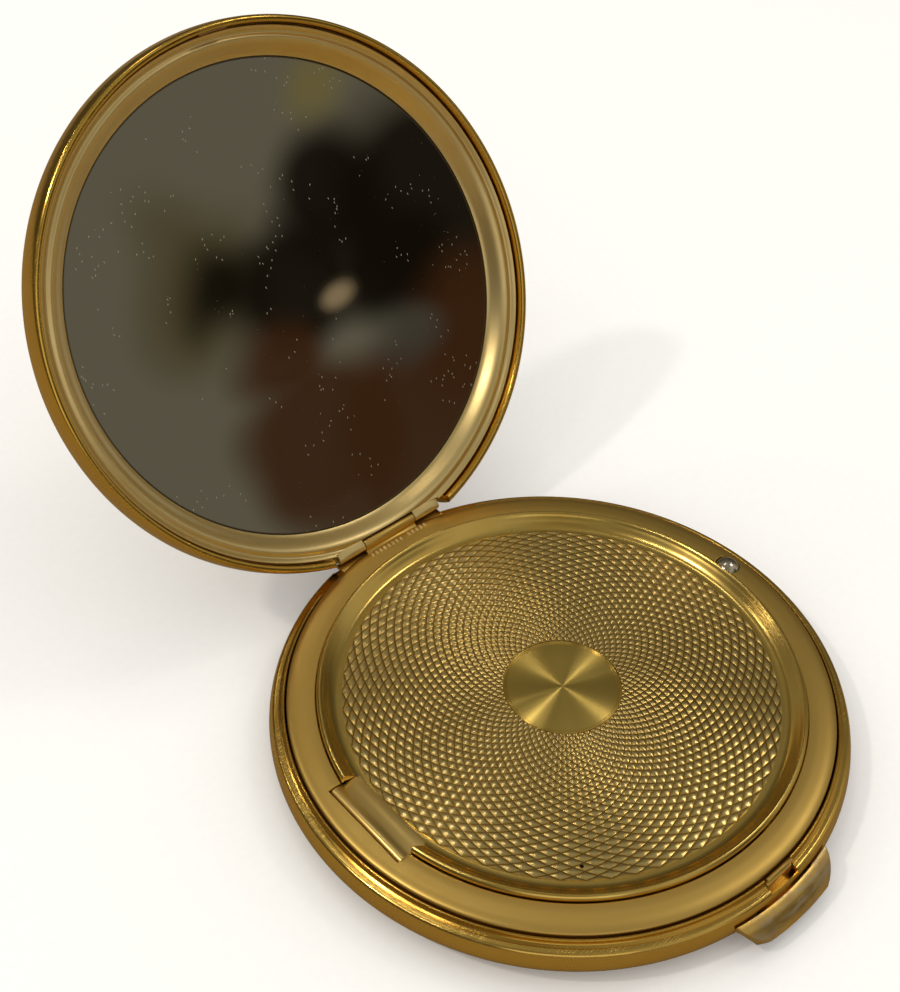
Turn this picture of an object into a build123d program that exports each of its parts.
"""Round gilt powder compact: a hinged mirror lid over a powder well closed by a sprung inner lid.

Millimetres, +Z up. The origin is the centre of the flat rest face. The lid hinge is at the back (+Y),
the thumb catch at the front (-Y), the inner lid's hinge at the left (-X) and its button at the right
(+X). The lid's pieces are drawn closed, and turned about the hinge pin into the open pose as they are saved.
"""

from build123d import *
import os

# Case
case_radius = 41.5
wall = 0.6
foot_radius = 34.5
edge_level = 7.6  # outer edge of the frame ring
shoulder_level = edge_level - 1.35
shoulder_radius = 40.9
collar_radius = 39.6  # outside of the neck ring's top
collar_bore = 39.25
frame_radius = 38.95
frame_opening = 34.95
sheet = 0.4
running = 0.05

# Lid
lid_height = 14.2
lid_radius = 41.4
skirt_radius = 41.0
skirt_bore = 40.15
skirt_level = edge_level - 1.1
bezel_radius = 39.9
window_radius = 35.8  # inner lip of the bezel
lip_level = edge_level + 2.95
mirror_level = lip_level + 0.2
mirror_radius = 37.4
mirror_thickness = 1.4
pad_thickness = 0.8

# Lid hinge
hinge_y = 39.25
hinge_level = edge_level + 1.08
open_angle = 120.5
knuckle_radius = 0.9
hinge_pin_radius = 0.5
centre_knuckle = 9.7  # length along X
knuckle_gap = 0.15
barrel_length = 19.7
hinge_window = 25.0
base_window = 21.0

# Inner lid
inner_radius = 34.8
inner_crest = edge_level + 1.3
plate_level = edge_level - 0.3
plate_radius = 31.25
disc_radius = 8.45
tab_half = 7.0
notch_half = 7.3
inner_hinge_x = -35.25
inner_hinge_level = edge_level - 0.55
curl_radius = 0.85
inner_pin_radius = 0.3

# Inner lid's button and catch lever
button_x = 36.2
button_radius = 1.8
button_hole = 1.9
button_crest = edge_level + 1.15
lever_pivot_x = 35.2
lever_pivot_level = 2.0
lever_pin_radius = 0.4
lever_half = 1.4

# Front catch
tongue_half = 2.45
tongue_outer = 40.05
tongue_inner = 39.3
catch_pivot_y = -39.0
catch_pivot_level = 3.2
catch_pin_radius = 0.45
lug_radius = 44.45
lug_half = 9.35

# Powder well
well_radius = 32.6
well_wall = 0.4
well_rim_level = 6.55
powder_level = 4.05
sifter_level = 4.55
sifter_height = 1.6
nib_angle = 20.0

os.makedirs("parts", exist_ok=True)


def save(piece, name):
    piece.part.label = name
    export_step(piece.part, f"parts/{name}.step")


hinge_axis = Axis((0, hinge_y, hinge_level), (1, 0, 0))


def save_open(piece, name):
    """Save a piece of the lid, which is drawn closed, turned into the open pose."""
    opened = piece.part.rotate(hinge_axis, -open_angle)
    opened.label = name
    export_step(opened, f"parts/{name}.step")


# ---------------------------------------------------------------- base casing

with BuildPart() as base_shell:
    with BuildSketch(Plane.XZ):
        with BuildLine():
            Line((0, 0), (foot_radius, 0))
            Spline(
                (foot_radius, 0),
                (39.7, 1.6),
                (case_radius, 4.0),
                tangents=[(1, 0), (0, 1)],
            )
            Spline(
                (case_radius, 4.0),
                (shoulder_radius + 0.15, shoulder_level - 0.35),
                (shoulder_radius - 0.35, shoulder_level),
                tangents=[(0, 1), (-1, 0)],
            )
            Line((shoulder_radius - 0.35, shoulder_level), (collar_radius, shoulder_level))
            Line((collar_radius, shoulder_level), (collar_radius, shoulder_level - wall))
            Line(
                (collar_radius, shoulder_level - wall),
                (shoulder_radius - 0.55, shoulder_level - wall),
            )
            Spline(
                (shoulder_radius - 0.55, shoulder_level - wall),
                (case_radius - wall, 4.0),
                tangents=[(1, 0), (0, -1)],
            )
            Spline(
                (case_radius - wall, 4.0),
                (39.3, 2.05),
                (foot_radius, wall),
                tangents=[(0, -1), (-1, 0)],
            )
            Line((foot_radius, wall), (0, wall))
            Line((0, wall), (0, 0))
        make_face()
    revolve(axis=Axis.Z)
    # Slot for the catch tongue in the shoulder.
    with BuildSketch(Plane.XY.offset(shoulder_level - 2 * wall)):
        with Locations((0, -tongue_outer)):
            Rectangle(2 * tongue_half + 0.4, 1.9)
    extrude(amount=3 * wall, mode=Mode.SUBTRACT)
    # Slot for the thumb lug in the side.
    with BuildSketch(Plane.XZ.offset(40.2)):
        with Locations((0, catch_pivot_level + 1.05)):
            Rectangle(11.0, 1.9)
    extrude(amount=3, mode=Mode.SUBTRACT)
    # Room behind the hinge for the lid's back wall.
    with BuildSketch(Plane.XY.offset(4.6)):
        with Locations((0, 41.3)):
            Rectangle(base_window, 4)
    extrude(amount=4, mode=Mode.SUBTRACT)
save(base_shell, "base_shell")

with BuildPart() as neck_ring:
    with BuildSketch(Plane.XZ):
        with BuildLine():
            Polyline(
                (collar_bore, edge_level - 0.45),
                (collar_bore, 4.6),
                (collar_radius - 0.02, 4.6),
                (collar_radius - 0.02, shoulder_level),
                (collar_radius + 0.5, shoulder_level),
                (collar_radius + 0.5, shoulder_level + 0.12),
            )
            ThreePointArc(
                (collar_radius + 0.5, shoulder_level + 0.12),
                (collar_radius + 0.07, edge_level - 0.95),
                (collar_radius, edge_level - 0.5),
            )
            ThreePointArc(
                (collar_radius, edge_level - 0.5),
                (collar_radius - 0.16, edge_level - 0.35),
                (collar_bore, edge_level - 0.45),
            )
        make_face()
    revolve(axis=Axis.Z)
    # Gap that the catch tongue stands in.
    with BuildSketch(Plane.XY.offset(4)):
        with Locations((0, -collar_radius)):
            Rectangle(2 * tongue_half + 0.4, 3)
    extrude(amount=5, mode=Mode.SUBTRACT)
    # Lowered behind the hinge so that the lid's skirt swings clear.
    with BuildSketch(Plane.XY.offset(5.4)):
        with Locations((0, 38)):
            Rectangle(31, 8)
    extrude(amount=4, mode=Mode.SUBTRACT)
save(neck_ring, "neck_ring")

with BuildPart() as frame_ring:
    with BuildSketch(Plane.XZ):
        with BuildLine():
            Line((frame_opening, edge_level), (frame_opening, edge_level + sheet))
            Spline(
                (frame_opening, edge_level + sheet),
                (36.6, edge_level + 0.4),
                (38.3, edge_level + 0.18),
                (frame_radius, edge_level - 0.3),
                tangents=[(1, 0.1), (0, -1)],
            )
            Polyline(
                (frame_radius, edge_level - 0.3),
                (frame_radius, 4.9),
                (frame_radius - sheet, 4.9),
                (frame_radius - sheet, edge_level - 0.35),
            )
            Spline(
                (frame_radius - sheet, edge_level - 0.35),
                (37.6, edge_level - 0.12),
                (frame_opening, edge_level),
                tangents=[(-0.4, 1), (-1, 0)],
            )
        make_face()
    revolve(axis=Axis.Z)
    # Rectangular notch for the inner lid's hinge tab.
    with BuildSketch(Plane.XY.offset(edge_level - 1)):
        with Locations((inner_hinge_x, 0)):
            Rectangle(2 * (curl_radius + 0.12), 2 * notch_half)
    extrude(amount=3, mode=Mode.SUBTRACT)
    # Hole for the catch button.
    with BuildSketch(Plane.XY.offset(edge_level - 1)):
        with Locations((button_x, 0)):
            Circle(button_hole)
    extrude(amount=3, mode=Mode.SUBTRACT)
    # Straight back edge below the hinge barrel.
    with BuildSketch(Plane.XY.offset(edge_level - 0.4)):
        with Locations((0, 40.25)):
            Rectangle(barrel_length + 0.6, 4)
    extrude(amount=2, mode=Mode.SUBTRACT)
    # Centre knuckle, curled up from the ring.
    with BuildSketch(Plane.YZ.offset(-centre_knuckle / 2)):
        with BuildLine():
            Polyline(
                (37.9, edge_level - 0.3),
                (hinge_y + 0.3, edge_level - 0.3),
                (hinge_y + 0.6, hinge_level),
                (hinge_y, hinge_level),
                (hinge_y - 0.6, edge_level + 0.22),
                (37.9, edge_level + 0.15),
                close=True,
            )
        make_face()
        with Locations((hinge_y, hinge_level)):
            Circle(knuckle_radius)
            Circle(hinge_pin_radius, mode=Mode.SUBTRACT)
    extrude(amount=centre_knuckle)
save(frame_ring, "frame_ring")

with BuildPart() as lid_hinge_pin:
    with BuildSketch(Plane.YZ.offset(-barrel_length / 2)):
        with Locations((hinge_y, hinge_level)):
            Circle(hinge_pin_radius)
    extrude(amount=barrel_length)
    chamfer(lid_hinge_pin.edges().filter_by(GeomType.CIRCLE), 0.1)
save(lid_hinge_pin, "lid_hinge_pin")

# ---------------------------------------------------------------- lid

with BuildPart() as lid_shell:
    with BuildSketch(Plane.XZ):
        with BuildLine():
            Spline(
                (0, lid_height),
                (18.5, lid_height - 0.19),
                (37, lid_height - 0.75),
                tangents=[(1, 0), (1, -0.04)],
            )
            Spline(
                (37, lid_height - 0.75),
                (40.4, lid_height - 2.2),
                (lid_radius, lid_height - 4.4),
                tangents=[(1, -0.04), (0, -1)],
            )
            Spline(
                (lid_radius, lid_height - 4.4),
                (skirt_radius + 0.1, skirt_level + 0.45),
                (skirt_radius - 0.4, skirt_level),
                tangents=[(0, -1), (-1, 0)],
            )
            ThreePointArc(
                (skirt_radius - 0.4, skirt_level),
                (skirt_bore + 0.1, skirt_level + 0.12),
                (skirt_bore, skirt_level + 0.4),
            )
            Line((skirt_bore, skirt_level + 0.4), (skirt_bore, edge_level + 0.9))
            Spline(
                (skirt_bore, edge_level + 0.9),
                (40.7, lid_height - 4.4),
                (39.9, lid_height - 2.45),
                (37, lid_height - 0.75 - wall),
                tangents=[(0.3, 1), (-1, 0.04)],
            )
            Spline(
                (37, lid_height - 0.75 - wall),
                (18.5, lid_height - 0.19 - wall),
                (0, lid_height - wall),
                tangents=[(-1, 0.04), (-1, 0)],
            )
            Line((0, lid_height - wall), (0, lid_height))
        make_face()
    revolve(axis=Axis.Z)
    # Window behind the hinge that lets the lid fall back past the base.
    with BuildSketch(Plane.XY.offset(skirt_level - 1)):
        with Locations((0, 41)):
            Rectangle(hinge_window, 8)
    extrude(amount=11.3 - skirt_level + 1, mode=Mode.SUBTRACT)
save_open(lid_shell, "lid_shell")

with BuildPart() as mirror_bezel:
    with BuildSketch(Plane.XZ):
        with BuildLine():
            # Face towards the user: edge bead, channel, rounded bead and slope to the mirror.
            Spline(
                (bezel_radius, edge_level + 0.55),
                (bezel_radius - 0.2, edge_level + 0.17),
                (bezel_radius - 0.5, edge_level + 0.35),
                (bezel_radius - 1.0, edge_level + 0.75),
                (bezel_radius - 1.75, edge_level + 0.55),
                (bezel_radius - 2.6, edge_level + 1.15),
                (window_radius + 0.5, lip_level - 0.45),
                (window_radius, lip_level),
                tangents=[(0, -1), (-1, 0.7)],
            )
            Polyline(
                (window_radius, lip_level),
                (window_radius, mirror_level),
                (window_radius + 0.7, mirror_level),
            )
            Spline(
                (window_radius + 0.7, mirror_level),
                (bezel_radius - 2.35, edge_level + 1.6),
                (bezel_radius - 1.4, edge_level + 1.2),
                (bezel_radius - sheet, edge_level + 1.5),
            )
            Polyline(
                (bezel_radius - sheet, edge_level + 1.5),
                (bezel_radius - sheet, edge_level + 2.2),
                (bezel_radius + 0.6, edge_level + 2.2),
                (bezel_radius + 0.6, edge_level + 1.8),
                (bezel_radius, edge_level + 1.8),
                (bezel_radius, edge_level + 0.55),
            )
        make_face()
    revolve(axis=Axis.Z)
    # Straight back edge in front of the hinge barrel.
    with BuildSketch(Plane.XY.offset(edge_level - 1)):
        with Locations((0, 40.15)):
            Rectangle(barrel_length + 0.6, 4)
    extrude(amount=4.5, mode=Mode.SUBTRACT)
    # Outer knuckles and the leaf that carries them.
    for end in (-1, 1):
        with BuildSketch(Plane.YZ.offset(end * barrel_length / 2)):
            with Locations((hinge_y, hinge_level)):
                Circle(knuckle_radius)
            with BuildLine():
                Polyline(
                    (37.4, edge_level + 1.05),
                    (hinge_y, hinge_level - knuckle_radius + 0.15),
                    (hinge_y, hinge_level + 0.5),
                    (37.4, edge_level + 1.5),
                    close=True,
                )
            make_face()
            with Locations((hinge_y, hinge_level)):
                Circle(hinge_pin_radius + running, mode=Mode.SUBTRACT)
        extrude(amount=-end * ((barrel_length - centre_knuckle) / 2 - knuckle_gap))
save_open(mirror_bezel, "mirror_bezel")

with BuildPart() as mirror_glass:
    with BuildSketch(Plane.XY.offset(mirror_level)):
        Circle(mirror_radius)
    extrude(amount=mirror_thickness)
    chamfer(mirror_glass.edges().filter_by(GeomType.CIRCLE), 0.3)
save_open(mirror_glass, "mirror_glass")

with BuildPart() as mirror_pad:
    with BuildSketch(Plane.XY.offset(mirror_level + mirror_thickness)):
        Circle(mirror_radius - 3)
    extrude(amount=pad_thickness)
save_open(mirror_pad, "mirror_pad")

with BuildPart() as lid_catch_lip:
    with BuildSketch(Plane.XY.offset(edge_level - 0.95)):
        Rectangle(2 * tongue_half - 0.4, 2 * skirt_bore)
        Circle(tongue_outer - 0.2, mode=Mode.SUBTRACT)
        with Locations((0, skirt_bore)):
            Rectangle(20, 20, mode=Mode.SUBTRACT)
    extrude(amount=0.45)
    with BuildSketch(Plane.XY):
        Circle(skirt_bore)
    extrude(amount=lid_height, mode=Mode.INTERSECT)
save_open(lid_catch_lip, "lid_catch_lip")

# ---------------------------------------------------------------- powder well

with BuildPart() as powder_well:
    with BuildSketch(Plane.XZ):
        with BuildLine():
            Polyline(
                (0, wall + 0.02),
                (well_radius - 0.8, wall + 0.02),
                (well_radius, wall + 0.82),
                (well_radius, well_rim_level - 0.3),
                (well_radius + 0.5, well_rim_level - 0.3),
                (well_radius + 0.5, well_rim_level),
                (well_radius - well_wall, well_rim_level),
                (well_radius - well_wall, sifter_level),
                (well_radius - well_wall - 0.7, sifter_level),
                (well_radius - well_wall, sifter_level - 0.5),
                (well_radius - well_wall, wall + 1),
                (well_radius - 1, wall + 0.42),
                (0, wall + 0.42),
                close=True,
            )
        make_face()
    revolve(axis=Axis.Z)
    # Three nibs that hold the sifter ring down.
    with BuildSketch(Plane.XY.offset(sifter_level + sifter_height + 0.05)):
        with PolarLocations(well_radius - well_wall - 0.3, 3, start_angle=nib_angle):
            Rectangle(0.9, 3.2)
    extrude(amount=0.25)
save(powder_well, "powder_well")

with BuildPart() as powder_fill:
    with BuildSketch(Plane.XY.offset(wall + 0.44)):
        Circle(well_radius - 1.1)
    extrude(amount=powder_level - wall - 0.44)
    fillet(powder_fill.edges().group_by(Axis.Z)[-1], 0.3)
save(powder_fill, "powder_fill")

sifter_radius = well_radius - well_wall - 0.08

with BuildPart() as sifter_ring:
    with BuildSketch(Plane.XZ):
        with BuildLine():
            Polyline(
                (sifter_radius - 1.9, sifter_level + 0.02),
                (sifter_radius, sifter_level + 0.02),
                (sifter_radius, sifter_level + sifter_height),
                (sifter_radius - 0.9, sifter_level + sifter_height),
                (sifter_radius - 0.9, sifter_level + 0.42),
                (sifter_radius - 1.9, sifter_level + 0.42),
                close=True,
            )
        make_face()
    revolve(axis=Axis.Z)
    # Notches that pass the nibs once the ring is twisted.
    with BuildSketch(Plane.XY.offset(sifter_level)):
        with PolarLocations(sifter_radius, 3, start_angle=nib_angle - 30):
            Rectangle(1.0, 4.0)
    extrude(amount=sifter_height + 1, mode=Mode.SUBTRACT)
save(sifter_ring, "sifter_ring")

with BuildPart() as sifter_gauze:
    with BuildSketch(Plane.XY.offset(sifter_level + 0.42)):
        Circle(sifter_radius - 0.95)
    extrude(amount=0.15)
save(sifter_gauze, "sifter_gauze")

# ---------------------------------------------------------------- inner lid

with BuildPart() as inner_lid:
    with BuildSketch(Plane.XZ):
        with BuildLine():
            Polyline(
                (0, plate_level - 0.45),
                (0, plate_level - 0.05),
                (disc_radius, plate_level - 0.05),
                (disc_radius, plate_level),
                (plate_radius, plate_level),
                (plate_radius + 0.08, plate_level - 0.12),
            )
            Spline(
                (plate_radius + 0.08, plate_level - 0.12),
                (plate_radius + 1.2, plate_level + 0.02),
                (inner_radius - 0.85, inner_crest - 0.55),
                (inner_radius - 0.35, inner_crest),
                (inner_radius, inner_crest - 0.45),
                tangents=[(1, -0.1), (0, -1)],
            )
            Polyline(
                (inner_radius, inner_crest - 0.45),
                (inner_radius, edge_level - 0.1),
                (inner_radius - sheet, edge_level - 0.1),
                (inner_radius - sheet, inner_crest - 0.75),
            )
            Spline(
                (inner_radius - sheet, inner_crest - 0.75),
                (inner_radius - 0.95, inner_crest - 1.2),
                (plate_radius + 1.1, plate_level - 0.4),
                (plate_radius - 0.2, plate_level - 0.45),
                tangents=[(0, -1), (-1, 0)],
            )
            Line((plate_radius - 0.2, plate_level - 0.45), (0, plate_level - 0.45))
        make_face()
    revolve(axis=Axis.Z)
    # Rim cut back on both sides of the tab.
    with BuildSketch(Plane.XY.offset(edge_level - 0.6)):
        with Locations((-inner_radius, 0)):
            Rectangle(2.9, 2 * tab_half + 1.6)
    extrude(amount=4, mode=Mode.SUBTRACT)
    # Skirt of the rim shortened near the hinge, so that it swings up past the frame.
    with BuildSketch(Plane.XY.offset(edge_level - 0.2)):
        with Locations((-inner_radius, 0)):
            Rectangle(7.4, 26)
        Circle(inner_radius - sheet - 0.01, mode=Mode.SUBTRACT)
    extrude(amount=0.5, mode=Mode.SUBTRACT)
    # Round notch beside the button.
    with BuildSketch(Plane.XY.offset(edge_level - 1)):
        with Locations((button_x, 0)):
            Circle(button_hole + 0.08)
    extrude(amount=4, mode=Mode.SUBTRACT)
    # Hinge tab, curled down round its pin.
    with BuildSketch(Plane.XZ.offset(-tab_half)):
        with BuildLine():
            Polyline(
                (inner_hinge_x, inner_hinge_level + curl_radius),
                (-33.0, edge_level + 0.3),
                (-32.3, edge_level - 0.15),
                (-32.3, edge_level - 0.62),
                (-33.3, edge_level - 0.15),
                (-34.4, edge_level - 0.1),
                (inner_hinge_x, inner_hinge_level + 0.3),
                close=True,
            )
        make_face()
        with Locations((inner_hinge_x, inner_hinge_level)):
            Circle(curl_radius)
            Circle(inner_pin_radius + running, mode=Mode.SUBTRACT)
    extrude(amount=2 * tab_half)
    # Room for the spring round the pin.
    with BuildSketch(Plane.XZ.offset(-4.4)):
        with Locations((inner_hinge_x, inner_hinge_level)):
            Circle(0.62)
    extrude(amount=8.8, mode=Mode.SUBTRACT)
    # Catch that the lever's nose holds.
    with BuildSketch(Plane.XZ.offset(-lever_half)):
        with BuildLine():
            Polyline(
                (33.35, edge_level + 0.05),
                (33.75, edge_level + 0.25),
                (33.75, 6.0),
                (34.05, 6.0),
                (34.05, 5.7),
                (33.35, 5.7),
                close=True,
            )
        make_face()
    extrude(amount=2 * lever_half)
save(inner_lid, "inner_lid")

with BuildPart() as inner_hinge_pin:
    with BuildSketch(Plane.XZ.offset(-8.5)):
        with Locations((inner_hinge_x, inner_hinge_level)):
            Circle(inner_pin_radius)
    extrude(amount=17)
save(inner_hinge_pin, "inner_hinge_pin")

with BuildPart() as inner_hinge_bracket:
    with BuildSketch(Plane.XY.offset(4.3)):
        with Locations((inner_hinge_x - 0.6, 0)):
            Rectangle(3.2, 17)
    extrude(amount=0.4)
    for lug in (-8.4, 7.6):
        with BuildSketch(Plane.XZ.offset(-lug)):
            with Locations((inner_hinge_x, 5.8)):
                Rectangle(1.5, 3.2)
            with Locations((inner_hinge_x, inner_hinge_level)):
                Circle(inner_pin_radius, mode=Mode.SUBTRACT)
        extrude(amount=-0.8)
save(inner_hinge_bracket, "inner_hinge_bracket")

with BuildPart() as inner_lid_spring:
    with BuildLine():
        coil = Helix(
            pitch=0.7,
            height=8.4,
            radius=0.47,
            center=(inner_hinge_x, 4.2, inner_hinge_level),
            direction=(0, -1, 0),
        )
    with BuildSketch(Plane(origin=coil @ 0, z_dir=coil % 0)):
        Rectangle(0.2, 0.2)
    sweep(path=coil, is_frenet=True)
save(inner_lid_spring, "inner_lid_spring")

# ---------------------------------------------------------------- button and catch lever

button_section = Plane(origin=(button_x, 0, 0), x_dir=(1, 0, 0), z_dir=(0, -1, 0))

with BuildPart() as catch_button:
    with BuildSketch(button_section):
        with BuildLine():
            Line((0, 6.9), (0, button_crest))
            Spline(
                (0, button_crest),
                (1.1, button_crest - 0.3),
                (button_radius, button_crest - 1.05),
                tangents=[(1, 0), (0, -1)],
            )
            Polyline(
                (button_radius, button_crest - 1.05),
                (button_radius, 7.45),
                (button_radius + 0.35, 7.45),
                (button_radius + 0.35, 7.05),
                (0.9, 6.9),
                (0, 6.9),
            )
        make_face()
    revolve(axis=Axis((button_x, 0, 0), (0, 0, 1)))
    # Flange trimmed clear of the inner lid and of the lever.
    with BuildSketch(Plane.XY.offset(6.5)):
        with Locations((button_x - 2.3, 0)):
            Rectangle(3.3, 6)
    extrude(amount=1.1, mode=Mode.SUBTRACT)
    # Wedge-ended stem that pushes the catch lever outwards.
    with BuildSketch(Plane.XZ.offset(-0.5)):
        with BuildLine():
            Polyline(
                (button_x - 0.45, 7),
                (button_x - 0.45, 3.9),
                (button_x - 0.1, 3.9),
                (button_x + 0.35, 5.5),
                (button_x + 0.35, 7),
                close=True,
            )
        make_face()
    extrude(amount=1)
save(catch_button, "catch_button")

with BuildPart() as catch_lever:
    with BuildSketch(Plane.XZ.offset(-lever_half)):
        with BuildLine():
            Polyline(
                (34.7, lever_pivot_level),
                (34.7, 6.15),
                (33.88, 6.15),
                (33.88, 6.35),
                (34.1, 6.6),
                (35.05, 6.6),
                (35.05, 4.6),
                (37.2, 4.6),
                (37.2, 4.2),
                (35.05, 4.2),
                (35.05, lever_pivot_level),
                close=True,
            )
        make_face()
        with Locations((lever_pivot_x, lever_pivot_level)):
            Circle(0.8)
            Circle(lever_pin_radius + running, mode=Mode.SUBTRACT)
    extrude(amount=2 * lever_half)
    # Window that the button's stem passes through.
    with BuildSketch(Plane.XY.offset(4)):
        with Locations((button_x - 0.5, 0)):
            Rectangle(1.3, 1.5)
    extrude(amount=1, mode=Mode.SUBTRACT)
save(catch_lever, "catch_lever")

with BuildPart() as catch_lever_pin:
    with BuildSketch(Plane.XZ.offset(-2.4)):
        with Locations((lever_pivot_x, lever_pivot_level)):
            Circle(lever_pin_radius)
    extrude(amount=4.8)
save(catch_lever_pin, "catch_lever_pin")

with BuildPart() as catch_bracket:
    # Two ears that hold the lever's pin, joined by the plate that guides the button's stem.
    for ear in (-2.2, 1.7):
        with BuildSketch(Plane.XZ.offset(-ear)):
            with BuildLine():
                Polyline(
                    (33.3, 0.75),
                    (34.6, 0.75),
                    (36.2, 1.4),
                    (38.1, 3.0),
                    (38.1, 5.5),
                    (35.6, 5.5),
                    (34.2, 3.0),
                    (33.3, 2.0),
                    close=True,
                )
            make_face()
            with Locations((lever_pivot_x, lever_pivot_level)):
                Circle(lever_pin_radius, mode=Mode.SUBTRACT)
        extrude(amount=-0.5)
    with BuildSketch(Plane.XY.offset(5.1)):
        with Locations(((35.6 + 38.1) / 2, 0)):
            Rectangle(2.5, 4.4)
        with Locations((button_x, 0)):
            Rectangle(1.3, 1.3, mode=Mode.SUBTRACT)
    extrude(amount=0.4)
save(catch_bracket, "catch_bracket")

with BuildPart() as catch_button_spring:
    with BuildLine():
        coil = Helix(pitch=0.36, height=1.1, radius=0.8, center=(button_x, 0, 5.65))
    with BuildSketch(Plane(origin=coil @ 0, z_dir=coil % 0)):
        Circle(0.1)
    sweep(path=coil, is_frenet=True)
save(catch_button_spring, "catch_button_spring")

# ---------------------------------------------------------------- front catch

with BuildPart() as thumb_lug:
    # Flange that follows the case outside and curls down, trimmed to a rounded tab.
    with BuildSketch(Plane.XZ):
        with BuildLine():
            Spline(
                (case_radius + 0.12, 4.9),
                (43.0, 4.3),
                (lug_radius, 2.6),
                tangents=[(1, -0.15), (0.35, -1)],
            )
            Line((lug_radius, 2.6), (lug_radius - 0.75, 2.35))
            Spline(
                (lug_radius - 0.75, 2.35),
                (42.6, 3.75),
                (case_radius + 0.12, 4.1),
                tangents=[(-0.35, 1), (-1, 0.15)],
            )
            Line((case_radius + 0.12, 4.1), (case_radius + 0.12, 4.9))
        make_face()
    revolve(axis=Axis.Z)
    with BuildSketch(Plane.XY.offset(1)):
        with Locations((0, 6 - lug_radius)):
            RectangleRounded(2 * lug_half, 12, 5.5)
    extrude(amount=6, mode=Mode.INTERSECT)

with BuildPart() as thumb_catch:
    # Upright tongue with the notch that the lid's lip snaps into, on an eye round its pin.
    with BuildSketch(Plane.YZ.offset(-tongue_half)):
        with BuildLine():
            Polyline(
                (-tongue_inner, catch_pivot_level),
                (-tongue_inner, edge_level - 0.25),
                (-tongue_inner - 0.25, edge_level),
                (-tongue_outer + 0.2, edge_level),
                (-tongue_outer, edge_level - 0.2),
                (-tongue_outer, edge_level - 0.45),
                (-tongue_outer + 0.35, edge_level - 0.45),
                (-tongue_outer + 0.35, edge_level - 1.05),
                (-tongue_outer, edge_level - 1.15),
                (-tongue_outer, catch_pivot_level),
                close=True,
            )
        make_face()
        with Locations((catch_pivot_y, catch_pivot_level)):
            Circle(1.0)
            Circle(catch_pin_radius + running, mode=Mode.SUBTRACT)
    extrude(amount=2 * tongue_half)
    # Web through the slot in the case side.
    with BuildSketch(Plane.YZ.offset(-5)):
        with BuildLine():
            Polyline(
                (-39.7, catch_pivot_level + 0.7),
                (-41.9, catch_pivot_level + 0.95),
                (-41.9, catch_pivot_level + 1.55),
                (-39.7, catch_pivot_level + 1.25),
                close=True,
            )
        make_face()
    extrude(amount=10)
    add(thumb_lug.part)
save(thumb_catch, "thumb_catch")

with BuildPart() as catch_pin:
    with BuildSketch(Plane.YZ.offset(-6.3)):
        with Locations((catch_pivot_y, catch_pivot_level)):
            Circle(catch_pin_radius)
    extrude(amount=12.6)
save(catch_pin, "catch_pin")

with BuildPart() as catch_pin_bracket:
    for ear in (-6.3, 5.7):
        with BuildSketch(Plane.YZ.offset(ear)):
            with BuildLine():
                Polyline(
                    (-33.1, 0.64),
                    (-34.3, 0.64),
                    (-36.4, 1.3),
                    (-38.9, 2.3),
                    (-39.9, 3.2),
                    (-39.2, 4.2),
                    (-36.4, 2.8),
                    (-33.1, 1.8),
                    close=True,
                )
            make_face()
            with Locations((catch_pivot_y, catch_pivot_level)):
                Circle(catch_pin_radius, mode=Mode.SUBTRACT)
        extrude(amount=0.6)
    with BuildSketch(Plane.YZ.offset(-6.3)):
        with BuildLine():
            Polyline(
                (-33.1, 0.64),
                (-34.3, 0.64),
                (-36.4, 1.3),
                (-36.4, 1.7),
                (-34.3, 1.05),
                (-33.1, 1.05),
                close=True,
            )
        make_face()
    extrude(amount=12.6)
save(catch_pin_bracket, "catch_pin_bracket")

with BuildPart() as catch_spring:
    # Leaf that stands on the bracket and presses the tongue outwards.
    with BuildSketch(Plane.YZ.offset(-1.6)):
        with BuildLine():
            Polyline(
                (-35.0, 1.4),
                (-36.2, 1.75),
                (-37.4, 3.6),
                (-38.9, 4.65),
                (-38.9, 4.82),
                (-37.25, 3.75),
                (-36.1, 1.92),
                (-35.0, 1.57),
                close=True,
            )
        make_face()
    extrude(amount=3.2)
save(catch_spring, "catch_spring")
